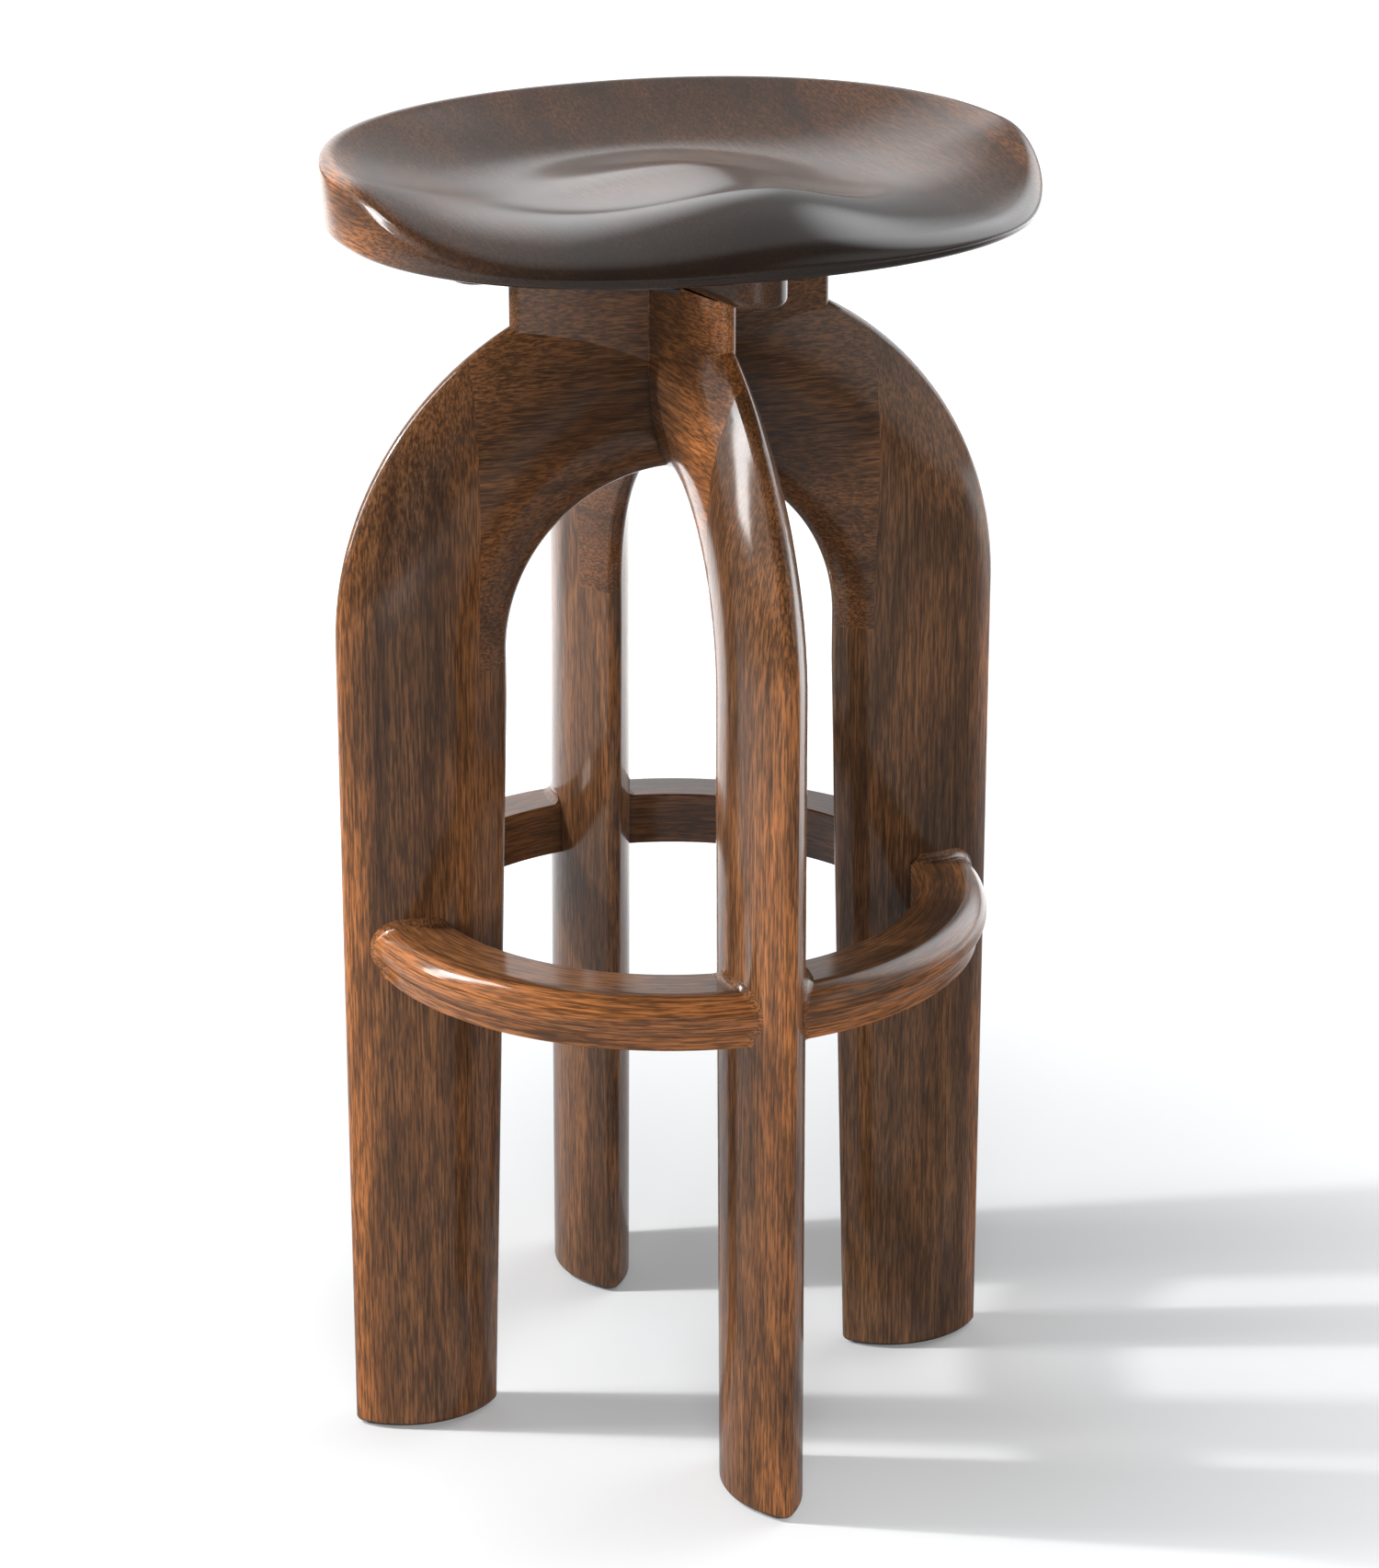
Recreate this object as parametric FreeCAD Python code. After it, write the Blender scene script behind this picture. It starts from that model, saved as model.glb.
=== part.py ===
"""Swivel bar stool: carved saddle seat on four arched legs with a round foot ring.

Millimetres, +Z up. The origin is on the floor, on the swivel axis. The front leg
stands on -Y, the right leg on +X. The seat is shown as photographed, turned a
little from the front leg.
"""
import FreeCAD, Part
import math
import os

os.makedirs("parts", exist_ok=True)
Vector = FreeCAD.Vector
UP = Vector(0, 0, 1)

# Legs and arches. Every arch section is a lens, curved to both sides.
leg_reach = 200.0               # outer face of each leg, from the axis
arch_radius = 100.0             # clear arch between two opposite legs
arch_centre_height = 477.0
shoulder_rise = 13.0            # from there to where the outer face turns in
taper_drop = 27.0               # from there to where the inner edge starts to run outwards
foot_spread = 13.0              # outward run of the inner edge down to the floor
leg_thickness = 44.0
leg_edge_radius = 6.0
foot_round = 3.0

# Rails: the tops of the two arches, halved into each other at the axis.
shoulder_overlap = 20.0         # from the arch's clear radius to the upright joint face
ledge_drop = 7.0                # small ledge of the leg under the rail's end
neck_stand = 4.5                # the cross's flat top over the arches' outer circle
neck_reach = 95.0
neck_thickness = 39.0
neck_edge_radius = 6.5
notch_margin = 0.5              # the halving's notches are this much wider at each side

# Loose tenons between rails and legs.
tenon_thickness = 12.0
tenon_height = 70.0
tenon_length = 50.0
tenon_rise = 95.0               # its middle over the arch's centre
glue_room = 0.5

# Foot ring.
ring_top_height = 323.0
ring_depth = 31.5
ring_width = 41.0
ring_inset = 14.0               # its outermost point inside the legs' outer faces
ring_bulge_width = 13.0         # the flat top ends where the bulge starts
ring_bulge_drop = 14.0          # from the top to the outermost point
ring_crease_drop = 23.0         # from the top to the recessed lower band
ring_band_inset = 5.5           # the lower band inside the outermost point
ring_edge_chamfer = 1.0
ring_flare = 5.0                # hollow round where the ring widens into a leg
ring_flare_share = 0.06         # most of it, of the leg's depth at the ring
dowel_diameter = 10.0
dowel_reach = 42.0              # to each side of the leg's middle plane

# Foot pads.
pad_thickness = 1.5
pad_inset = 5.0

# Flat ball bearing swivel.
swivel_height = 8.0             # over both plates
seat_gap = 1.5                  # from the cross to the battens
plate_side = 100.0
plate_thickness = 2.0
plate_corner_radius = 7.0
race_radius = 32.0
ball_diameter = 5.0
ball_count = 16
ball_clearance = 0.05
cage_thickness = 1.0
cage_width = 9.0
rivet_outer_radius = 8.0
rivet_wall = 2.5
rivet_flange_radius = 12.0
rivet_flange_thickness = 1.0
running_clearance = 0.08
axial_clearance = 0.1
recess_clearance = 0.5
plate_fit = 0.5                 # room round a plate in its recess
plate_screw_inset = 12.7        # from the plate's sharp corner
plate_screw_diameter = 4.0
plate_screw_head = 8.0
plate_screw_length = 22.0

# Battens under the seat.
batten_width = 54.0             # over the crossing, then it tapers to the nose
batten_nose_radius = 16.0
batten_reach = 133.0
batten_height = 29.0
batten_lower_round = 6.0
batten_screw_diameter = 4.0
batten_screw_head = 8.0
batten_screw_sink = 2.4
batten_screw_grip = 9.0         # of its point in the seat
batten_screw_inset = 20.0       # from the nose
batten_screw_spacing = 24.0

# Saddle seat. Its outline is a superellipse, a little wider at the back.
seat_turn = 4.4                 # degrees from the front leg, as photographed
seat_half_width = 203.3
seat_half_depth = 163.5
seat_forward = 19.0             # outline's middle, in front of the axis
seat_outline_power = 2.245
seat_skew_share = 0.009
seat_taper = 1.7                # the side face leans in towards the bottom
seat_floor = 13.9               # wood under the dish, at the axis
seat_back_rise = 38.8           # rim over the dish floor, before the front is rolled down
seat_side_rise = 28.1
seat_front_rise = 26.3
dish_power = 2.72
pommel_rise = 15.6
pommel_width = 56.0
pommel_start = -76.0
pommel_end = 22.0
front_roll_drop = 30.3
pommel_roll_drop = 12.0         # further drop at the pommel's nose
front_roll_start_share = 0.5725
front_roll_spread_share = 1.31
seat_rim_round = 8.0
seat_bottom_round = 4.5

# Working values.
cut_past = 5.0
arch_steps = 12
grid_step = 26.0
outline_steps = 32

shoulder_height = arch_centre_height + shoulder_rise
taper_top_height = arch_centre_height - taper_drop
foot_inner_reach = arch_radius + foot_spread
rail_reach = arch_radius + shoulder_overlap
ledge_height = arch_centre_height - ledge_drop
cross_height = shoulder_height + leg_reach + neck_stand
ring_outer_radius = leg_reach - ring_inset
ring_inner_radius = ring_outer_radius - ring_width
ring_bottom_height = ring_top_height - ring_depth
batten_bottom = cross_height + seat_gap
seat_bottom = batten_bottom + batten_height
race_height = (cross_height + batten_bottom) / 2
lower_plate_height = race_height - swivel_height / 2
upper_plate_top = race_height + swivel_height / 2
plate_screw_place = plate_side / math.sqrt(2) - plate_screw_inset
LEG_ANGLES = {"right": 0, "back": 90, "left": 180, "front": 270}


def lens_wire(inner, outer, thickness, edge_radius):
    """Closed lens between two points of the XZ plane, curved to both sides."""
    middle = (inner + outer) * 0.5
    along = outer - inner
    half_length = along.Length / 2
    along.normalize()
    half = thickness / 2
    flat = half_length - edge_radius
    face_radius = (flat ** 2 + half ** 2 - edge_radius ** 2) / (2 * (half - edge_radius))
    touch = flat * face_radius / (face_radius - edge_radius)
    rise = (face_radius - half) * edge_radius / (face_radius - edge_radius)

    def at(u, v):
        return middle + along * u + Vector(0, v, 0)

    corners = [at(touch, rise), at(-touch, rise), at(-touch, -rise), at(touch, -rise)]
    crowns = [at(0, half), at(-half_length, 0), at(0, -half), at(half_length, 0)]
    arcs = []
    for index in range(4):
        arc = Part.Arc(corners[index], crowns[index], corners[(index + 1) % 4])
        arcs.append(arc.toShape())
    return Part.Wire(arcs)


def leg_inner_reach(height):
    """Inner edge of the leg, straight between its taper's top and the floor."""
    share = (taper_top_height - height) / taper_top_height
    return arch_radius + (foot_inner_reach - arch_radius) * share


def leg_section(height):
    inner = Vector(leg_inner_reach(height), 0, height)
    return lens_wire(inner, Vector(leg_reach, 0, height), leg_thickness, leg_edge_radius)


def arch_section(angle):
    """Section of the arch between its inner and outer circles."""
    across = math.cos(angle)
    rise = math.sin(angle)
    inner = Vector(arch_radius * across, 0, arch_centre_height + arch_radius * rise)
    outer = Vector(leg_reach * across, 0, shoulder_height + leg_reach * rise)
    thickness = leg_thickness + (neck_thickness - leg_thickness) * rise ** 2
    return lens_wire(inner, outer, thickness, leg_edge_radius)


def arch_blank():
    """Two opposite legs and the arch between them, in the XZ plane."""
    angles = [math.pi * step / arch_steps for step in range(arch_steps + 1)]
    crown = Part.makeLoft([arch_section(angle) for angle in angles], True, False)
    post = Part.makeLoft([leg_section(pad_thickness), leg_section(taper_top_height)], True, True)
    post = post.makeFillet(foot_round, foot_edges(post))
    hip = Part.makeLoft([leg_section(taper_top_height), arch_section(0)], True, True)
    right = [post, hip]
    left = [turned(piece, 180) for piece in right]
    return crown.fuse(right + left)


def foot_edges(post):
    edges = []
    for edge in post.Edges:
        box = edge.BoundBox
        if box.ZMax < pad_thickness + foot_round:
            edges.append(edge)
    return edges


def turned(shape, angle):
    """A copy turned about the swivel axis, in degrees."""
    copy = shape.copy()
    copy.rotate(Vector(0, 0, 0), UP, angle)
    return copy


def block(low, high):
    size = high - low
    return Part.makeBox(size.x, size.y, size.z, low)


def cylinder_between(radius, low, high):
    return Part.makeCylinder(radius, high - low, Vector(0, 0, low))


def joint_zone():
    """The space of a rail, between the legs' upright joint faces."""
    wide = leg_thickness
    low = Vector(-rail_reach, -wide, ledge_height)
    high = Vector(rail_reach, wide, cross_height + cut_past)
    return block(low, high)


def neck():
    """Upright prism under the swivel, standing out of the arch's top."""
    crown_bottom = arch_centre_height + arch_radius
    start = (crown_bottom + cross_height) / 2
    inner = Vector(-neck_reach, 0, start)
    wire = lens_wire(inner, Vector(neck_reach, 0, start), neck_thickness, neck_edge_radius)
    return Part.Face(wire).extrude(UP * (cross_height - start))


def halved_rails(rail):
    """Both rails, halved: straight notches sawn in the stock, then carved as one.

    Where the rails cross, each quarter between the diagonals holds one arm.
    """
    wide = leg_reach
    height = cross_height + cut_past

    def corner(x, y):
        return Vector(x, y, 0)

    triangle = Part.makePolygon([corner(0, 0), corner(wide, -wide), corner(wide, wide),
                                 corner(0, 0)])
    arm = rail.common(Part.Face(triangle).extrude(UP * height))
    arms = four_turns(arm)
    cross = arms[0].fuse(arms[1:]).removeSplitter()
    notch = neck_thickness / 2 + notch_margin
    middle = (arch_centre_height + arch_radius + cross_height) / 2
    arm_box = block(Vector(notch, -leg_thickness, 0), Vector(wide, leg_thickness, height))
    along_x = [arm_box, turned(arm_box, 180)]
    along_y = [turned(box, 90) for box in along_x]
    upper = block(Vector(-notch, -notch, middle), Vector(notch, notch, height))
    lower = block(Vector(-notch, -notch, 0), Vector(notch, notch, middle))
    side = cross.cut(along_y + [upper])
    fore_aft = cross.cut(along_x + [lower])
    return side, fore_aft


def slot_bar(length, height, thickness, middle):
    """Bar along X with half-round upper and lower edges, as a loose tenon has."""
    radius = thickness / 2
    flat = height / 2 - radius
    x = middle.x - length / 2

    def at(y, z):
        return Vector(x, middle.y + y, middle.z + z)

    sides = [
        Part.LineSegment(at(radius, -flat), at(radius, flat)),
        Part.Arc(at(radius, flat), at(0, flat + radius), at(-radius, flat)),
        Part.LineSegment(at(-radius, flat), at(-radius, -flat)),
        Part.Arc(at(-radius, -flat), at(0, -flat - radius), at(radius, -flat)),
    ]
    wire = Part.Wire([side.toShape() for side in sides])
    return Part.Face(wire).extrude(Vector(length, 0, 0))


def tenon(extra=0.0):
    middle = Vector(rail_reach, 0, arch_centre_height + tenon_rise)
    return slot_bar(tenon_length + 2 * extra, tenon_height, tenon_thickness, middle)


def ring_profile():
    """Half section of the foot ring: flat inside and top, bulged outside."""
    top = ring_top_height
    bottom = ring_bottom_height
    inner = ring_inner_radius
    outer = ring_outer_radius
    flat = outer - ring_bulge_width
    band = outer - ring_band_inset
    chamfer = ring_edge_chamfer
    bulge_height = top - ring_bulge_drop
    crease_height = top - ring_crease_drop

    def at(r, z):
        return Vector(r, 0, z)

    upper_mid = at(flat + ring_bulge_width * math.sin(math.pi / 4),
                   bulge_height + ring_bulge_drop * math.cos(math.pi / 4))
    lower_mid = at(band + ring_band_inset * math.cos(math.pi / 6),
                   bulge_height - (bulge_height - crease_height) * math.sin(math.pi / 6))
    lines = [
        Part.LineSegment(at(inner, bottom), at(inner, top - chamfer)),
        Part.LineSegment(at(inner, top - chamfer), at(inner + chamfer, top)),
        Part.LineSegment(at(inner + chamfer, top), at(flat, top)),
        Part.Arc(at(flat, top), upper_mid, at(outer, bulge_height)),
        Part.Arc(at(outer, bulge_height), lower_mid, at(band, crease_height)),
        Part.LineSegment(at(band, crease_height), at(band, bottom)),
        Part.LineSegment(at(band, bottom), at(inner, bottom)),
    ]
    return Part.Wire([line.toShape() for line in lines])


def ring_root_edges(body):
    """Edges where the ring meets the side face of the leg."""
    edges = []
    for edge in body.Edges:
        box = edge.BoundBox
        level = box.ZMin > ring_bottom_height - ring_edge_chamfer
        level = level and box.ZMax < ring_top_height + ring_edge_chamfer
        beside = box.YMin > 0 and box.YMax < leg_thickness
        if level and beside and box.XMin > ring_inner_radius - ring_edge_chamfer:
            edges.append(edge)
    return edges


def ring_segment(leg):
    """Quarter of the foot ring from the right leg to the back leg, flared into both."""
    half = Part.Face(ring_profile()).revolve(Vector(0, 0, 0), UP, 45)
    low = Vector(0, -leg_thickness, ring_bottom_height - ring_depth)
    high = Vector(leg_reach + cut_past, leg_thickness, ring_top_height + ring_depth)
    stub = leg.common(block(low, high))
    rooted = half.fuse(stub)
    depth = leg_reach - leg_inner_reach(ring_top_height)
    flare = min(ring_flare, ring_flare_share * depth)
    rooted = rooted.makeFillet(flare, ring_root_edges(rooted))
    half = rooted.cut(stub)
    other = half.mirror(Vector(0, 0, 0), Vector(1, -1, 0))
    return half.fuse(other).removeSplitter()


def ring_dowel():
    """Dowel through the right leg, into the ring segment at each side."""
    middle = (ring_inner_radius + ring_outer_radius) / 2
    height = ring_top_height - ring_depth / 2
    start = Vector(middle, -dowel_reach, height)
    return Part.makeCylinder(dowel_diameter / 2, 2 * dowel_reach, start, Vector(0, 1, 0))


def foot_pad():
    inner = Vector(leg_inner_reach(pad_thickness) + pad_inset, 0, 0)
    outer = Vector(leg_reach - pad_inset, 0, 0)
    thickness = leg_thickness - 2 * pad_inset
    wire = lens_wire(inner, outer, thickness, leg_edge_radius)
    return Part.Face(wire).extrude(UP * pad_thickness)


def countersunk_screw(place, height, direction, shank, head, sink, length):
    """Screw on the X axis at a radius, its flat head's face at a height."""
    point = Vector(place, 0, height)
    cone = Part.makeCone(head / 2, shank / 2, sink, point, UP * direction)
    shaft = Part.makeCylinder(shank / 2, length - sink, point + UP * direction * sink,
                              UP * direction)
    return cone.fuse(shaft).removeSplitter()


def plate_blank(low, high, room=0.0):
    """Square plate turned so that its corners lie on the four arms."""
    half = plate_side / 2 + room
    plate = block(Vector(-half, -half, low), Vector(half, half, high))
    edges = [edge for edge in plate.Edges if edge.BoundBox.ZLength > (high - low) / 2]
    return turned(plate.makeFillet(plate_corner_radius + room, edges), 45)


def swivel_plate(low):
    """Plate with the rivet's hole and half of the ball race."""
    plate = plate_blank(low, low + plate_thickness)
    hole_radius = rivet_outer_radius + running_clearance
    hole = cylinder_between(hole_radius, low - cut_past, low + plate_thickness + cut_past)
    race = Part.makeTorus(race_radius, ball_diameter / 2 + ball_clearance,
                          Vector(0, 0, race_height))
    return plate.cut([hole, race])


def four_turns(shape):
    return [turned(shape, angle) for angle in LEG_ANGLES.values()]


def plate_screws(height, direction):
    screw = countersunk_screw(plate_screw_place, height, direction,
                              plate_screw_diameter, plate_screw_head, plate_thickness,
                              plate_screw_length)
    return four_turns(screw)


def batten_screws():
    outer = batten_reach - batten_screw_inset
    length = batten_height + batten_screw_grip
    screws = []
    for place in (outer - batten_screw_spacing, outer):
        screw = countersunk_screw(place, batten_bottom, 1, batten_screw_diameter,
                                  batten_screw_head, batten_screw_sink, length)
        screws += four_turns(screw)
    return screws


def bearing_balls():
    balls = []
    for index in range(ball_count):
        ball = Part.makeSphere(ball_diameter / 2, Vector(race_radius, 0, race_height))
        balls.append(turned(ball, 360 * index / ball_count))
    return balls


def ball_cage():
    low = race_height - cage_thickness / 2
    outer = cylinder_between(race_radius + cage_width / 2, low, low + cage_thickness)
    inner = cylinder_between(race_radius - cage_width / 2, low - cut_past,
                             low + cage_thickness + cut_past)
    pockets = []
    for index in range(ball_count):
        pocket = Part.makeCylinder(ball_diameter / 2 + running_clearance,
                                   cage_thickness + 2 * cut_past,
                                   Vector(race_radius, 0, low - cut_past))
        pockets.append(turned(pocket, 360 * index / ball_count))
    return outer.cut([inner] + pockets)


def swivel_rivet():
    """Hollow rivet that holds both plates, with a flange at each end."""
    low = lower_plate_height - rivet_flange_thickness
    high = upper_plate_top + axial_clearance + rivet_flange_thickness
    shaft = cylinder_between(rivet_outer_radius, low, high)
    lower = cylinder_between(rivet_flange_radius, low, low + rivet_flange_thickness)
    upper = cylinder_between(rivet_flange_radius, high - rivet_flange_thickness, high)
    bore = cylinder_between(rivet_outer_radius - rivet_wall, low - cut_past, high + cut_past)
    return shaft.fuse([lower, upper]).cut(bore).removeSplitter()


def batten():
    """Batten along X: straight over the crossing, tapered to round noses."""
    half = batten_width / 2
    nose = batten_nose_radius
    centre = batten_reach - nose
    length = math.hypot(centre - half, half)
    slope = math.asin(nose / length) - math.atan2(half, centre - half)
    touch_x = centre - nose * math.sin(slope)
    touch_y = nose * math.cos(slope)

    def at(x, y):
        return Vector(x, y, batten_bottom)

    corners = [at(touch_x, touch_y), at(half, half), at(-half, half), at(-touch_x, touch_y)]
    corners += [at(-touch_x, -touch_y), at(-half, -half), at(half, -half),
                at(touch_x, -touch_y)]
    sides = [Part.LineSegment(corners[i], corners[i + 1]) for i in (0, 1, 2, 4, 5, 6)]
    sides.insert(3, Part.Arc(corners[3], at(-batten_reach, 0), corners[4]))
    sides.append(Part.Arc(corners[7], at(batten_reach, 0), corners[0]))
    bar = Part.Face(Part.Wire([side.toShape() for side in sides])).extrude(UP * batten_height)
    edges = [edge for edge in bar.Edges if edge.BoundBox.ZMax < batten_bottom + batten_height / 2]
    return bar.makeFillet(batten_lower_round, edges)


def outline_point(angle, inset):
    """Point of the seat's outline. The seat's front is +X here, its left +Y."""
    power = 2 / seat_outline_power
    front = math.copysign(abs(math.cos(angle)) ** power, math.cos(angle))
    side = math.copysign(abs(math.sin(angle)) ** power, math.sin(angle))
    widen = 1 - seat_skew_share * math.cos(angle)
    x = seat_forward + (seat_half_depth - inset) * front
    y = (seat_half_width - inset) * side * widen
    return x, y


def outline_wire(height, inset):
    points = []
    for step in range(outline_steps):
        x, y = outline_point(2 * math.pi * step / outline_steps, inset)
        points.append(Vector(x, y, height))
    curve = Part.BSplineCurve()
    curve.interpolate(Points=points, PeriodicFlag=True)
    return Part.Wire([curve.toShape()])


def smooth_step(value):
    share = min(max(value, 0.0), 1.0)
    return share * share * (3 - 2 * share)


def seat_surface_height(x, y):
    """Height of the dish: a bowl with a pommel, rolled down at the front."""
    forward = (x - seat_forward) / seat_half_depth
    sideways = y / seat_half_width
    reach = math.hypot(forward, sideways)
    facing = forward / reach if reach > 0 else 0.0
    width = 1 - seat_skew_share * facing
    edge_share = (abs(forward) ** seat_outline_power
                  + abs(sideways / width) ** seat_outline_power) ** (1 / seat_outline_power)
    mean_rise = (seat_back_rise + seat_front_rise) / 2
    swing = (seat_back_rise - seat_front_rise) / 2
    fold = (mean_rise - seat_side_rise) / 2
    rim = mean_rise - fold - swing * facing + fold * (2 * facing ** 2 - 1)
    bowl = rim * edge_share ** dish_power
    growth = smooth_step((x - pommel_start) / (pommel_end - pommel_start))
    ridge = math.exp(-(y / pommel_width) ** 2)
    roll_share = max(0.0, (edge_share - front_roll_start_share) / (1 - front_roll_start_share))
    roll = (front_roll_drop + pommel_roll_drop * ridge) * roll_share ** 2
    roll *= smooth_step(front_roll_spread_share * facing)
    return seat_bottom + seat_floor + bowl + pommel_rise * growth * ridge - roll


def seat_cutter():
    """Everything above the seat's top surface."""
    reach_x = seat_half_depth + grid_step
    reach_y = seat_half_width * (1 + seat_skew_share) + grid_step
    count_x = round(2 * reach_x / grid_step)
    count_y = round(2 * reach_y / grid_step)
    rows = []
    for i in range(count_x + 1):
        x = seat_forward - reach_x + 2 * reach_x * i / count_x
        row = []
        for j in range(count_y + 1):
            y = -reach_y + 2 * reach_y * j / count_y
            row.append(Vector(x, y, seat_surface_height(x, y)))
        rows.append(row)
    surface = Part.BSplineSurface()
    surface.interpolate(rows)
    return surface.toShape().extrude(UP * (seat_back_rise + pommel_rise + seat_floor) * 2)


def seat_blank():
    low = outline_wire(seat_bottom, seat_taper)
    rise = seat_floor + seat_back_rise
    high = outline_wire(seat_bottom + 2 * rise, -seat_taper)
    return Part.makeLoft([low, high], True, True)


def seat():
    body = seat_blank().cut(seat_cutter())
    rims = []
    for edge in body.Edges:
        low = edge.BoundBox.ZMin
        if low > seat_bottom + seat_floor / 2:
            rims.append(edge)
    body = body.makeFillet(seat_rim_round, rims)
    bottoms = [edge for edge in body.Edges if edge.BoundBox.ZMax < seat_bottom + seat_floor / 2]
    return body.makeFillet(seat_bottom_round, bottoms)


def save(name, shapes):
    if not isinstance(shapes, list):
        shapes = [shapes]
    for shape in shapes:
        if not shape.isValid() or shape.Volume <= 0:
            raise ValueError(name + " is not a sound solid")
    solids = []
    for shape in shapes:
        solids += shape.Solids
    result = solids[0] if len(solids) == 1 else Part.makeCompound(solids)
    result.exportStep("parts/" + name + ".step")
    print(name, len(solids), round(sum(solid.Volume for solid in solids) / 1000, 2))


def build_base():
    blank = arch_blank()
    zone = joint_zone()
    rail = blank.common(zone).fuse(neck()).removeSplitter()
    leg = max(blank.cut(zone).Solids, key=lambda solid: solid.CenterOfMass.x)
    tenons = four_turns(tenon())
    pockets = four_turns(tenon(glue_room))
    screws = plate_screws(lower_plate_height + plate_thickness, -1)
    plate_recess = plate_blank(lower_plate_height, cross_height + cut_past, plate_fit)
    rivet_recess = cylinder_between(rivet_flange_radius + recess_clearance,
                                    lower_plate_height - rivet_flange_thickness,
                                    cross_height + cut_past)
    cuts = pockets + screws + [plate_recess, rivet_recess]
    rail_side, rail_fore_aft = halved_rails(rail)
    save("rail_side", rail_side.cut(cuts))
    save("rail_fore_aft", rail_fore_aft.cut(cuts))
    save("rail_tenons", tenons)
    save("swivel_screws_lower", screws)
    dowels = four_turns(ring_dowel())
    for side, angle in LEG_ANGLES.items():
        save("leg_" + side, turned(leg, angle).cut(pockets + dowels))
        save("foot_pad_" + side, turned(foot_pad(), angle))
    segment = ring_segment(leg).cut(dowels)
    for first, second in (("right", "back"), ("back", "left"), ("left", "front"),
                          ("front", "right")):
        names = sorted((first, second), key=lambda side: side in ("left", "right"))
        save("foot_ring_" + "_".join(names), turned(segment, LEG_ANGLES[first]))
    save("ring_dowels", dowels)


def build_swivel():
    lower = swivel_plate(lower_plate_height)
    lower_screws = plate_screws(lower_plate_height + plate_thickness, -1)
    save("swivel_lower_plate", lower.cut(lower_screws))
    save("bearing_balls", bearing_balls())
    save("ball_cage", ball_cage())
    save("swivel_rivet", swivel_rivet())


def build_seat():
    """Seat, battens and upper plate, made along X and turned to the photograph."""
    turn = seat_turn - 90
    plate = swivel_plate(upper_plate_top - plate_thickness)
    plate_fixings = plate_screws(upper_plate_top - plate_thickness, 1)
    wood_screws = batten_screws()
    plate_recess = plate_blank(batten_bottom - cut_past, upper_plate_top, plate_fit)
    rivet_recess = cylinder_between(rivet_flange_radius + recess_clearance,
                                    batten_bottom - cut_past,
                                    upper_plate_top + axial_clearance + rivet_flange_thickness
                                    + recess_clearance)
    fixings = plate_fixings + wood_screws + [plate_recess, rivet_recess]
    half = batten_width / 2
    middle = batten_bottom + batten_height / 2
    upper_notch = block(Vector(-half, -half, middle), Vector(half, half, seat_bottom + cut_past))
    lower_notch = block(Vector(-half, -half, 0), Vector(half, half, middle))
    long_bar = batten()
    cross_bar = turned(long_bar, 90)
    pieces = {
        "seat_batten_long": long_bar.cut([upper_notch] + fixings),
        "seat_batten_cross": cross_bar.cut([lower_notch] + fixings),
        "seat": seat().cut(wood_screws),
        "swivel_upper_plate": plate.cut(plate_fixings),
        "swivel_screws_upper": plate_fixings,
        "batten_screws": wood_screws,
    }
    for name, shape in pieces.items():
        shapes = shape if isinstance(shape, list) else [shape]
        save(name, [turned(piece, turn) for piece in shapes])


build_base()
build_swivel()
build_seat()
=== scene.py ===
"""Dark stained bar stool: swivelling saddle seat on four arched legs with a round foot ring.

Metres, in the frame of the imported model: origin on the floor under the swivel, +Z up,
front leg on -Y, right leg on +X.
"""

import math

import bmesh
import bpy
from mathutils import Matrix, Vector


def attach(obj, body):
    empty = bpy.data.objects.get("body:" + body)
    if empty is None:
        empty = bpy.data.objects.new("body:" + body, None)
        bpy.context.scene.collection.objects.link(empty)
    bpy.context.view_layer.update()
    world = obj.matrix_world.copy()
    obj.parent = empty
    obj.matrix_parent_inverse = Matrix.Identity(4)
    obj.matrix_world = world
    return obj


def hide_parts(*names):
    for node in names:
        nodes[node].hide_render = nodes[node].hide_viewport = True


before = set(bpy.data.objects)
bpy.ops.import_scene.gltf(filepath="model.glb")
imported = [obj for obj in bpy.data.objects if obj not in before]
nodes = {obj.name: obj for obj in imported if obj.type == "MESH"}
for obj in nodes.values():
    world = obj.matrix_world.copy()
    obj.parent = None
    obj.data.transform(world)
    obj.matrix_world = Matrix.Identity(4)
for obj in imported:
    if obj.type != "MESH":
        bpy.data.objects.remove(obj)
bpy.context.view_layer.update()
scene = bpy.context.scene


# Camera. It stands in front and to the left, a little above the seat, and looks down.
# The height, distance and lens were solved from the feet and the arches.
camera_data = bpy.data.cameras.new("camera")
camera_data.sensor_width = 36.0
camera_data.lens = 103.86
camera_data.clip_start = 0.1
camera_data.clip_end = 60.0
camera = bpy.data.objects.new("camera", camera_data)
camera.location = (-0.8200, -2.3440, 1.2944)
degrees_down = 20.154
degrees_right = 19.53
camera.rotation_euler = (math.radians(90 - degrees_down), 0, math.radians(-degrees_right))
scene.collection.objects.link(camera)
scene.camera = camera
scene.view_settings.view_transform = "Standard"


# Floor. A wide matt sheet that keeps the stool's shadow. The camera sees it white all
# round, and the lacquer sees it glow only behind the stool, as a painted reflection.
def add_node(tree, kind, **settings):
    """A new shader node with its settings, and its unlinked sockets by name."""
    node = tree.nodes.new(kind)
    for name, value in settings.items():
        if hasattr(node, name):
            setattr(node, name, value)
        else:
            node.inputs[name.replace("_", " ")].default_value = value
    return node


def connect(tree, socket, value):
    """Links a socket, or gives it a plain value."""
    if isinstance(value, bpy.types.NodeSocket):
        tree.links.new(value, socket)
    else:
        socket.default_value = value


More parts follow.
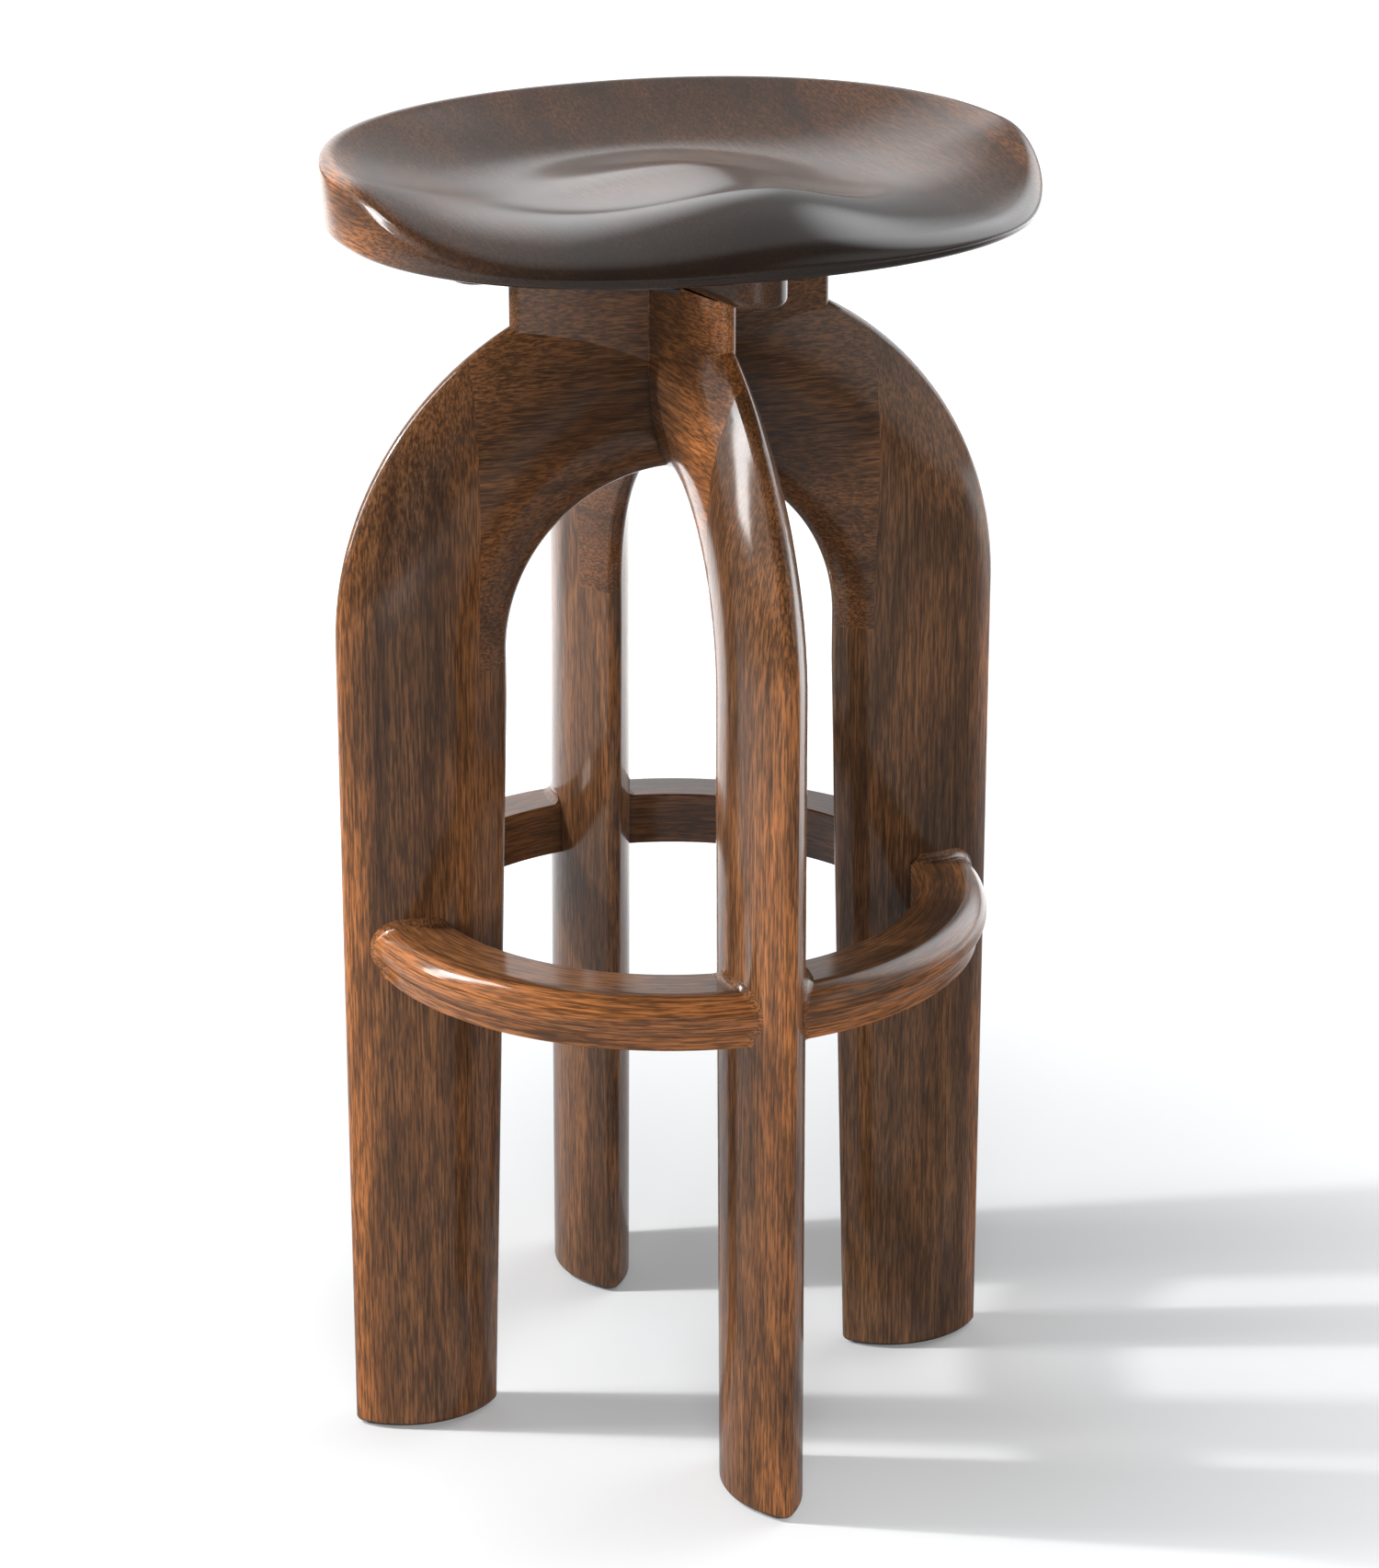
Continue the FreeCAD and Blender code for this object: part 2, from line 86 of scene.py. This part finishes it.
def calculate(tree, operation, first, second=0.0):
    """The result of a sum on two sockets or values."""
    node = add_node(tree, "ShaderNodeMath", operation=operation)
    connect(tree, node.inputs[0], first)
    connect(tree, node.inputs[1], second)
    return node.outputs[0]


def spread(tree, value, low, high, to_low=0.0, to_high=1.0):
    """Turns a range of values smoothly into another."""
    node = add_node(tree, "ShaderNodeMapRange", interpolation_type="SMOOTHSTEP")
    for index, number in enumerate((value, low, high, to_low, to_high)):
        connect(tree, node.inputs[index], number)
    return node.outputs[0]


def mix_color(tree, factor, first, second):
    """The first colour at a factor of 0, the second at 1."""
    node = add_node(tree, "ShaderNodeMix", data_type="RGBA")
    for index, value in ((0, factor), (6, first), (7, second)):
        connect(tree, node.inputs[index], value)
    return node.outputs[2]


def new_material(name):
    """A material, its node tree and its surface shader."""
    material = bpy.data.materials.new(name)
    material.use_nodes = True
    tree = material.node_tree
    return material, tree, tree.nodes["Principled BSDF"]


floor_radius = 14.0
floor_mesh = bmesh.new()
bmesh.ops.create_circle(floor_mesh, cap_ends=True, segments=96, radius=floor_radius)
floor_data = bpy.data.meshes.new("floor")
floor_mesh.to_mesh(floor_data)
floor_mesh.free()
floor = bpy.data.objects.new("floor", floor_data)
scene.collection.objects.link(floor)
floor_material, tree, shader = new_material("white floor")
shader.inputs["Roughness"].default_value = 0.9
shader.inputs["Specular IOR Level"].default_value = 0.1
place = add_node(tree, "ShaderNodeTexCoord").outputs["Object"]

# The glow that the camera sees grows with the distance from the feet, so that the
# shadows near the stool stay.
shadow_middle = (0.03, 0.14, 0)
reach = add_node(tree, "ShaderNodeVectorMath", operation="DISTANCE")
reach.inputs[1].default_value = shadow_middle
tree.links.new(place, reach.inputs[0])
white_glow = spread(tree, reach.outputs["Value"], -0.1, 1.2, 0.0, 0.92)

# The glow in reflections grows towards the back, and is off on the far left.
backwards = (0.35, 0.94, 0)
back = add_node(tree, "ShaderNodeVectorMath", operation="DOT_PRODUCT")
back.inputs[1].default_value = backwards
tree.links.new(place, back.inputs[0])
back_glow = spread(tree, back.outputs["Value"], 0.3, 1.4, 0.0, 1.8)
aside = add_node(tree, "ShaderNodeSeparateXYZ")
tree.links.new(place, aside.inputs[0])
back_glow = calculate(tree, "MULTIPLY", back_glow, spread(tree, aside.outputs[0], -1.3, -0.5))
light_path = add_node(tree, "ShaderNodeLightPath")
seen = light_path.outputs["Is Camera Ray"]
glow = calculate(tree, "ADD", calculate(tree, "MULTIPLY", seen, white_glow),
                 calculate(tree, "MULTIPLY", light_path.outputs["Is Glossy Ray"], back_glow))
tree.links.new(glow, shader.inputs["Emission Strength"])
tree.links.new(mix_color(tree, seen, (0.36, 0.37, 0.38, 1), (0.60, 0.605, 0.61, 1)),
               shader.inputs["Base Color"])
shader.inputs["Emission Color"].default_value = (1, 1, 1, 1)
floor_data.materials.append(floor_material)


# World. A bright window low behind the stool in a dim studio, a light panel overhead and
# softer light on the left and the right. It is weaker as a light than in reflections, and
# the camera itself sees plain white.
world = bpy.data.worlds.new("studio")
scene.world = world
world.use_nodes = True
tree = world.node_tree
tree.nodes.clear()
direction = add_node(tree, "ShaderNodeTexCoord").outputs["Generated"]


def world_share(axis, low, high):
    """Rises from 0 to 1 as a direction turns towards an axis."""
    along = add_node(tree, "ShaderNodeVectorMath", operation="DOT_PRODUCT")
    along.inputs[1].default_value = axis
    tree.links.new(direction, along.inputs[0])
    return spread(tree, along.outputs["Value"], low, high)


# Each light: its direction, the cosines where it starts and where it is full, its strength.
strength = 0.0
for axis, low, high, most in (((-0.100, 0.950, 0.296), 0.82, 0.985, 1.7),
                              ((0.644, 0.765, 0.000), 0.10, 0.70, 0.4),
                              ((-0.943, 0.334, 0.000), 0.60, 0.95, 0.6),
                              ((0.315, 0.390, 0.865), 0.82, 0.99, 0.55),
                              ((0.826, -0.504, 0.252), 0.80, 0.97, 0.7),
                              ((0.823, 0.292, 0.487), 0.80, 0.97, 3.5)):
    part = calculate(tree, "MULTIPLY", world_share(axis, low, high), most)
    strength = calculate(tree, "MAXIMUM", part, strength)
light_path = add_node(tree, "ShaderNodeLightPath")
studio_dim = 0.1
matt_loss = 0.55
matt = calculate(tree, "MULTIPLY", light_path.outputs["Is Diffuse Ray"], matt_loss)
strength = calculate(tree, "MULTIPLY", calculate(tree, "ADD", strength, studio_dim),
                     calculate(tree, "SUBTRACT", 1.0, matt))
studio = add_node(tree, "ShaderNodeBackground", Color=(0.98, 1.0, 1.02, 1))
tree.links.new(strength, studio.inputs["Strength"])
white = add_node(tree, "ShaderNodeBackground", Color=(1, 1, 1, 1), Strength=1.0)
mix = add_node(tree, "ShaderNodeMixShader")
world_output = add_node(tree, "ShaderNodeOutputWorld")
tree.links.new(light_path.outputs["Is Camera Ray"], mix.inputs[0])
tree.links.new(studio.outputs[0], mix.inputs[1])
tree.links.new(white.outputs[0], mix.inputs[2])
tree.links.new(mix.outputs[0], world_output.inputs["Surface"])


# Lamps. The key is a bare lamp near the stool on its left, so its shadows fan out to the
# right. A strip light stands behind it, and a soft box low down in front.
key_data = bpy.data.lights.new("lamp_left", "POINT")
key_data.energy = 88
key_data.shadow_soft_size = 0.035
key = bpy.data.objects.new("lamp_left", key_data)
key.location = (-1.30, 0.465, 1.26)
scene.collection.objects.link(key)


def area_lamp(name, watts, size, place, aim_height):
    """A rectangular lamp that shines at a height of the swivel axis."""
    data = bpy.data.lights.new(name, "AREA")
    data.shape = "RECTANGLE"
    data.size, data.size_y = size
    data.energy = watts
    lamp = bpy.data.objects.new(name, data)
    lamp.location = place
    aim = Vector((0, 0, aim_height)) - lamp.location
    lamp.rotation_euler = aim.to_track_quat("-Z", "Y").to_euler()
    scene.collection.objects.link(lamp)
    return lamp


area_lamp("strip_left", 22, (0.3, 1.5), (-1.42, 0.50, 1.30), 0.6)
soft_box = area_lamp("soft_box_front", 75, (1.3, 1.3), (-1.1, -3.2, 0.80), 0.45)
soft_box.visible_glossy = False


# Legs: four lens-shaped posts sawn from thick boards, with upright grain. Stained dark
# and lacquered, the stain rubbed through a little on their outer edges.
def grain_group():
    """Dark stain over brown wood, as a shared group of nodes. The grain runs along the
    vector's Z, with dark pore dashes, streaks, a flat-sawn figure and rubbed spots."""
    group = bpy.data.node_groups.new("stained grain", "ShaderNodeTree")
    sockets = (("Vector", "INPUT", "NodeSocketVector"), ("Rub and light", "INPUT", "NodeSocketFloat"),
               ("Dark", "INPUT", "NodeSocketColor"), ("Brown", "INPUT", "NodeSocketColor"),
               ("Warm", "INPUT", "NodeSocketColor"), ("Color", "OUTPUT", "NodeSocketColor"),
               ("Roughness", "OUTPUT", "NodeSocketFloat"), ("Height", "OUTPUT", "NodeSocketFloat"))
    for name, way, kind in sockets:
        group.interface.new_socket(name=name, in_out=way, socket_type=kind)
    entry = add_node(group, "NodeGroupInput").outputs
    leave = add_node(group, "NodeGroupOutput").inputs

    def noise(stretch, scale, detail, distortion=0.0):
        """Noise drawn out along the grain."""
        mapping = add_node(group, "ShaderNodeMapping", Scale=(1, 1, stretch))
        group.links.new(entry["Vector"], mapping.inputs["Vector"])
        texture = add_node(group, "ShaderNodeTexNoise", Scale=scale, Detail=detail,
                           Roughness=0.6, Distortion=distortion)
        group.links.new(mapping.outputs[0], texture.inputs["Vector"])
        return texture.outputs["Fac"]

    def times(first, second):
        """Product inside the group."""
        return calculate(group, "MULTIPLY", first, second)

    # How far each is drawn out along the grain, its scale, its detail.
    blotches = noise(0.30, 14, 5)
    streaks = noise(0.03, 300, 4)
    dashes = spread(group, noise(0.07, 900, 2), 0.36, 0.62)
    fibres = noise(0.018, 760, 4)
    rings = 62.0
    contours = times(noise(0.16, 7.5, 1, 0.3), rings)
    figure = spread(group, calculate(group, "SINE", contours), 0.2, 1.0)
    body = calculate(group, "ADD", times(spread(group, streaks, 0.32, 0.70), 0.36),
                     times(spread(group, blotches, 0.36, 0.66), 0.50))
    body = calculate(group, "ADD", body, times(dashes, 0.2))
    color = mix_color(group, body, entry["Dark"], entry["Brown"])
    wear_and_light = times(entry["Rub and light"], spread(group, blotches, 0.32, 0.60, 0.25, 1.0))
    wear_and_light = times(wear_and_light, spread(group, dashes, 0.0, 1.0, 0.6, 1.0))
    color = mix_color(group, wear_and_light, color, entry["Warm"])
    color = mix_color(group, times(figure, 0.35), color, entry["Dark"])
    pores = calculate(group, "SUBTRACT", 1.0, dashes)
    color = mix_color(group, times(pores, 0.5), color, entry["Dark"])
    color = mix_color(group, times(spread(group, fibres, 0.46, 0.64), 0.55), color, entry["Dark"])
    group.links.new(color, leave["Color"])
    rough = spread(group, blotches, 0.3, 0.7, 0.38, 0.55)
    group.links.new(rough, leave["Roughness"])
    height = calculate(group, "SUBTRACT", times(fibres, 0.6), times(pores, 0.6))
    group.links.new(height, leave["Height"])
    return group


def around_group():
    """Bends straight grain round the swivel axis: radius, height and way along the arc."""
    group = bpy.data.node_groups.new("grain round the axis", "ShaderNodeTree")
    group.interface.new_socket(name="Vector", in_out="INPUT", socket_type="NodeSocketVector")
    group.interface.new_socket(name="Radius", in_out="INPUT", socket_type="NodeSocketFloat")
    group.interface.new_socket(name="Bent", in_out="OUTPUT", socket_type="NodeSocketVector")
    entry = add_node(group, "NodeGroupInput").outputs
    leave = add_node(group, "NodeGroupOutput").inputs
    split = add_node(group, "ShaderNodeSeparateXYZ")
    group.links.new(entry["Vector"], split.inputs[0])
    x, y, z = split.outputs
    squares = calculate(group, "ADD", calculate(group, "MULTIPLY", x, x),
                        calculate(group, "MULTIPLY", y, y))
    joined = add_node(group, "ShaderNodeCombineXYZ")
    angle = calculate(group, "ARCTAN2", y, x)
    connect(group, joined.inputs[0], calculate(group, "SQRT", squares))
    connect(group, joined.inputs[1], z)
    connect(group, joined.inputs[2], calculate(group, "MULTIPLY", angle, entry["Radius"]))
    group.links.new(joined.outputs[0], leave["Bent"])
    return group


stained_grain = grain_group()
round_grain = around_group()
painted_shade_black = (0.012, 0.008, 0.006, 1)
joint_and_shade_black = (0.008, 0.006, 0.005, 1)


def stained_wood(name, along=(0, 0, 1), shift=(0, 0, 0), brown=(0.205, 0.100, 0.045),
                 rub=0.3, wear_and_light=(0.180, 0.1985, 1.0), painted_shade=0.55, arc=0.0, across=1.0,
                 painted_shade_stretch=(1, 1, 0), painted_shade_middle=(0, 0, 0)):
    """Stained and lacquered wood, its grain along a direction or round an arc. The stain is
    rubbed through out at the edges, and the wood is painted darker round one place, mostly
    the swivel axis, as painted shade."""
    material, tree, shader = new_material(name)
    whole = add_node(tree, "ShaderNodeTexCoord").outputs["Object"]

    def distance(stretch, middle):
        """Distance from a place, with each axis stretched."""
        stretched = add_node(tree, "ShaderNodeVectorMath", operation="MULTIPLY")
        stretched.inputs[1].default_value = stretch
        tree.links.new(whole, stretched.inputs[0])
        apart = add_node(tree, "ShaderNodeVectorMath", operation="DISTANCE")
        apart.inputs[1].default_value = middle
        tree.links.new(stretched.outputs[0], apart.inputs[0])
        return apart.outputs["Value"]

    place = whole
    if arc > 0:
        bent = add_node(tree, "ShaderNodeGroup", node_tree=round_grain, Radius=arc)
        tree.links.new(place, bent.inputs["Vector"])
        place = bent.outputs["Bent"]
    turn = Vector(along).rotation_difference(Vector((0, 0, 1))).to_euler()
    mapping = add_node(tree, "ShaderNodeMapping", Rotation=turn, Location=shift)
    tree.links.new(place, mapping.inputs["Vector"])
    grain = add_node(tree, "ShaderNodeGroup", node_tree=stained_grain,
                     Dark=(0.026, 0.013, 0.007, 1), Brown=(*brown, 1),
                     Warm=(0.50, 0.175, 0.048, 1))
    tree.links.new(mapping.outputs[0], grain.inputs["Vector"])
    wear_and_light_start, wear_and_light_full, wear_and_light_most = wear_and_light
    rubbed = spread(tree, distance((1, across, 0), (0, 0, 0)), wear_and_light_start, wear_and_light_full,
                    rub, wear_and_light_most)
    tree.links.new(rubbed, grain.inputs["Rub and light"])
    # Painted shade: the wood is mixed towards near black round one place, mostly the swivel axis
    # under the seat.
    stain = spread(tree, distance(painted_shade_stretch, painted_shade_middle), 0.04, 0.18, painted_shade, 0.0)
    color = mix_color(tree, stain, grain.outputs["Color"], painted_shade_black)
    # Darker in tight corners: the dark joints between the parts, and painted shade where one part
    # shades another.
    corner = add_node(tree, "ShaderNodeAmbientOcclusion", samples=4, Distance=0.006)
    joint_and_shade = spread(tree, corner.outputs["AO"], 0.35, 0.75, 0.85, 0.0)
    color = mix_color(tree, joint_and_shade, color, joint_and_shade_black)
    bump = add_node(tree, "ShaderNodeBump", Strength=0.06, Distance=0.0001)
    tree.links.new(grain.outputs["Height"], bump.inputs["Height"])
    tree.links.new(color, shader.inputs["Base Color"])
    tree.links.new(grain.outputs["Roughness"], shader.inputs["Roughness"])
    tree.links.new(bump.outputs[0], shader.inputs["Normal"])
    for socket, value in (("Specular IOR Level", 0.05), ("Coat Weight", 0.9),
                          ("Coat Roughness", 0.13), ("Coat IOR", 1.5)):
        shader.inputs[socket].default_value = value
    return material


def dress(name, material):
    """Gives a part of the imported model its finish."""
    data = nodes[name].data
    data.materials.clear()
    data.materials.append(material)


# The legs differ in how far they are rubbed and darkened: partly wear, partly painted light on the
# front leg and painted shade on the right and back legs.
for index, (side, rub, painted_shade) in enumerate((("right", 0.15, 0.6), ("back", 0.3, 0.5),
                                            ("left", 0.34, 0.35), ("front", 0.5, 0.1))):
    wood = stained_wood("stained leg " + side, shift=(0.37 * index, 0.21 * index, 0.5 * index),
                        rub=rub, painted_shade=painted_shade)
    dress("leg_" + side, wood)

# Rails: the tops of the two arches, with level grain, halved into each other under the
# swivel, and carved flush with the legs. The side rail has the legs' stain and lacquer.
dress("rail_side", stained_wood("stained rail side", (1, 0, 0), (0.8, 0.3, 0)))
# The fore-and-aft rail is lighter and warmer on its arms, partly wear and partly painted light
# where the lamp falls on the front arm, and darker round its middle and back, as painted shade
# under the seat.
dress("rail_fore_aft", stained_wood("stained rail fore aft", (0, 1, 0), (0.2, 0.9, 0),
                                    brown=(0.30, 0.12, 0.042), wear_and_light=(0.05, 0.10, 0.9),
                                    painted_shade=0.65, painted_shade_middle=(0, 0.14, 0)))

# Loose tenons and dowels: plain beech, glued into the legs, hidden in the joints.
material, tree, shader = new_material("plain beech")
beech = add_node(tree, "ShaderNodeTexNoise", Scale=240.0, Detail=3.0)
color = mix_color(tree, beech.outputs["Fac"], (0.55, 0.36, 0.20, 1), (0.70, 0.52, 0.33, 1))
tree.links.new(color, shader.inputs["Base Color"])
shader.inputs["Roughness"].default_value = 0.6
for name in ("rail_tenons", "ring_dowels"):
    dress(name, material)

# Foot ring: four sawn segments with their grain along the arc, flared into the legs.
# Flat on top and bulged outside, where shoes have rubbed the stain through.
for index, name in enumerate(("back_right", "back_left", "front_left", "front_right")):
    wood = stained_wood("stained ring " + name, shift=(0.4 * index, 0.3, 0), arc=0.165,
                        brown=(0.20, 0.086, 0.032), rub=0.2, wear_and_light=(0.172, 0.184, 0.9))
    dress("foot_ring_" + name, wood)

# Foot pads: thin dark felt glued under the feet.
material, tree, shader = new_material("dark felt")
nap = add_node(tree, "ShaderNodeTexNoise", Scale=2500.0, Detail=4.0)
color = mix_color(tree, nap.outputs["Fac"], (0.020, 0.018, 0.016, 1), (0.07, 0.065, 0.06, 1))
tree.links.new(color, shader.inputs["Base Color"])
shader.inputs["Roughness"].default_value = 0.95
shader.inputs["Sheen Weight"].default_value = 0.3
for side in ("right", "back", "left", "front"):
    dress("foot_pad_" + side, material)


# Swivel: two pressed steel plates in black enamel with a race of bright balls between
# them, a stamped brass cage, a hollow centre rivet and plain steel screws.
def metal(name, low, high, scale, metallic=1.0, rough=0.3):
    """Metal or enamel whose shade and gloss change a little over the surface."""
    material, tree, shader = new_material(name)
    texture = add_node(tree, "ShaderNodeTexNoise", Scale=scale, Detail=3.0)
    share = texture.outputs["Fac"]
    color = mix_color(tree, share, (*low, 1), (*high, 1))
    tree.links.new(color, shader.inputs["Base Color"])
    tree.links.new(spread(tree, share, 0.3, 0.7, rough * 0.8, rough * 1.2),
                   shader.inputs["Roughness"])
    shader.inputs["Metallic"].default_value = metallic
    return material


enamel = metal("black enamel", (0.012, 0.012, 0.013), (0.028, 0.028, 0.030), 90.0, 0.0, 0.35)
steel = metal("bright steel", (0.42, 0.42, 0.43), (0.60, 0.60, 0.60), 160.0)
brass = metal("stamped brass", (0.60, 0.44, 0.18), (0.78, 0.60, 0.30), 120.0)
for name in ("swivel_lower_plate", "swivel_upper_plate"):
    dress(name, enamel)
dress("ball_cage", brass)
for name in ("bearing_balls", "swivel_rivet", "swivel_screws_lower", "swivel_screws_upper",
             "batten_screws"):
    dress(name, steel)

# Battens: two tapered bars with round noses, halved over the swivel and screwed up into
# the seat. Their lower edges are rounded, and the lacquer catches the light there.
for name, along in (("long", (0, 1, 0)), ("cross", (1, 0, 0))):
    wood = stained_wood("stained batten " + name, along, (0.6, 0, 0.2), rub=0.1,
                        brown=(0.09, 0.042, 0.020))
    dress("seat_batten_" + name, wood)


# Seat: one thick board, carved to a saddle with a low pommel, hollows for the thighs
# and a front rolled down. All its edges are rounded over by hand and lacquered.
seat_turn = math.radians(4.4 - 90)
seat_bottom = 0.725
seat_floor = 0.0139
half_width = 0.2024
half_depth = 0.1630
forward_shift = 0.019
outline_power = 2.245
back_widening = 0.009
back_rise = 0.0350
side_rise = 0.0281
front_rise = 0.0263
dish_power = 2.72
crease_share = 0.56
crease_softness = 0.22
crease_fade = 0.7
pommel_rise = 0.0156
pommel_width = 0.056
pommel_width_right = 0.076
pommel_start = -0.088
pommel_end = 0.030
roll_drop = 0.0303
pommel_roll = 0.012
roll_start = 0.5725
roll_spread = 1.31
roll_power = 2.0
edge_width = 0.0095
edge_height = 0.0085
lower_round = 0.0045
side_lean = 0.0017


def smooth_step(value):
    """Rises smoothly from 0 to 1."""
    share = min(max(value, 0.0), 1.0)
    return share * share * (3 - 2 * share)


def wall_height(share):
    """Share of the rim's height behind the middle, where the hollow's floor is almost flat
    and its wall almost straight, with a soft crease between them."""
    def bent(place):
        beyond = place - crease_share
        return (beyond + math.hypot(beyond, crease_softness)) / 2
    return (bent(share) - bent(0.0)) / (bent(1.0) - bent(0.0))


def outline_point(angle, inset):
    """Point of the seat's outline, its front on +X."""
    across = math.cos(angle)
    aside = math.sin(angle)
    x = math.copysign(abs(across) ** (2 / outline_power), across)
    y = math.copysign(abs(aside) ** (2 / outline_power), aside)
    widen = 1 - back_widening * across
    return forward_shift + (half_depth - inset) * x, (half_width - inset) * y * widen


def dish_height(x, y):
    """Height of the carved top before its edge is rounded."""
    forward = (x - forward_shift) / half_depth
    sideways = y / half_width
    reach = math.hypot(forward, sideways)
    facing = forward / reach if reach > 0 else 0.0
    width = 1 - back_widening * facing
    share = (abs(forward) ** outline_power
             + abs(sideways / width) ** outline_power) ** (1 / outline_power)
    mean = (back_rise + front_rise) / 2
    swing = (back_rise - front_rise) / 2
    fold = (mean - side_rise) / 2
    rim = mean - fold - swing * facing + fold * (2 * facing ** 2 - 1)
    growth = smooth_step((x - pommel_start) / (pommel_end - pommel_start))
    ridge = math.exp(-(y / (pommel_width if y > 0 else pommel_width_right)) ** 2)
    fall = max(0.0, (share - roll_start) / (1 - roll_start)) ** roll_power
    pommel = pommel_rise * growth * ridge
    roll = fall * smooth_step(facing * roll_spread) * (roll_drop + pommel_roll * ridge)
    crisp = smooth_step(0.5 - facing / crease_fade)
    wall = share ** dish_power * (1 - crisp) + wall_height(share) * crisp
    return seat_bottom + seat_floor + rim * wall + pommel - roll


# The blank is a disc with a rim, spun about its middle. Its radius stands for the share
# of the way to the outline. Its height says what a ring belongs to: 0 the carved top, to
# -1 the rounded edge, to -2 the side, to -3 the lower rounding. Each is moved to its place.
top_rings = 40
edge_rings = 8
side_rings = 5
low_rings = 6
base_rings = 4
steps_round = 200
tiny = 1e-6
seat_mesh = bmesh.new()
profile = [(0.0, 0.0)]
profile += [(step / top_rings, 0.0) for step in range(1, top_rings + 1)]
profile += [(1.0, -step / edge_rings) for step in range(1, edge_rings + 1)]
profile += [(1.0, -1 - step / side_rings) for step in range(1, side_rings + 1)]
profile += [(1.0, -2 - step / low_rings) for step in range(1, low_rings + 1)]
profile += [(1 - step / base_rings, -3.0) for step in range(1, base_rings + 1)]
points = [seat_mesh.verts.new((x, 0, z)) for x, z in profile]
edges = [seat_mesh.edges.new(pair) for pair in zip(points, points[1:])]
bmesh.ops.spin(seat_mesh, geom=points + edges, cent=(0, 0, 0), axis=(0, 0, 1),
               angle=2 * math.pi, steps=steps_round, use_merge=True, use_duplicate=False)
bmesh.ops.remove_doubles(seat_mesh, verts=seat_mesh.verts, dist=tiny)
for vertex in seat_mesh.verts:
    share = math.hypot(vertex.co.x, vertex.co.y)
    angle = math.atan2(vertex.co.y, vertex.co.x)
    level = vertex.co.z
    rim_x, rim_y = outline_point(angle, edge_width)
    edge_x, edge_y = outline_point(angle, 0)
    edge_top = dish_height(edge_x, edge_y)
    room = edge_top - seat_bottom - lower_round
    drop = edge_height * (1 - math.exp(-room / edge_height))
    edge_z = edge_top - drop
    if level > -tiny:
        x = forward_shift * (1 - share) + rim_x * share
        y = rim_y * share
        z = dish_height(x, y)
    elif level > -1 - tiny:
        turn = -level * math.pi / 2
        x, y = outline_point(angle, edge_width * (1 - math.sin(turn)))
        z = dish_height(x, y) - drop * (1 - math.cos(turn))
    elif level > -2 - tiny:
        down = -level - 1
        x, y = outline_point(angle, side_lean * down ** 2)
        z = edge_z + (seat_bottom + lower_round - edge_z) * down
    else:
        turn = (-level - 2) * math.pi / 2
        x, y = outline_point(angle, side_lean + lower_round * (1 - math.cos(turn)))
        z = seat_bottom + lower_round * (1 - math.sin(turn))
        if share < 1 - tiny:
            x = forward_shift * (1 - share) + x * share
            y *= share
    vertex.co = (x, y, z)
bmesh.ops.recalc_face_normals(seat_mesh, faces=seat_mesh.faces)
bmesh.ops.rotate(seat_mesh, verts=seat_mesh.verts, cent=(0, 0, 0),
                 matrix=Matrix.Rotation(seat_turn, 3, "Z"))
for face in seat_mesh.faces:
    face.smooth = True
seat_data = bpy.data.meshes.new("carved_seat")
seat_mesh.to_mesh(seat_data)
seat_mesh.free()
seat = bpy.data.objects.new("carved_seat", seat_data)
scene.collection.objects.link(seat)
# Painted shade: the seat's wood is darker towards its front.
wood = stained_wood("stained seat", (math.cos(seat_turn), math.sin(seat_turn), 0),
                    (0.1, 0.1, 0), rub=0.16, brown=(0.095, 0.042, 0.018),
                    wear_and_light=(0.170, 0.204, 0.9), painted_shade=0.9, across=0.3,
                    painted_shade_stretch=(0.35, 1, 0), painted_shade_middle=(0.0, -0.205, 0))
seat_data.materials.append(wood)
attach(seat, "seat")
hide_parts("seat")
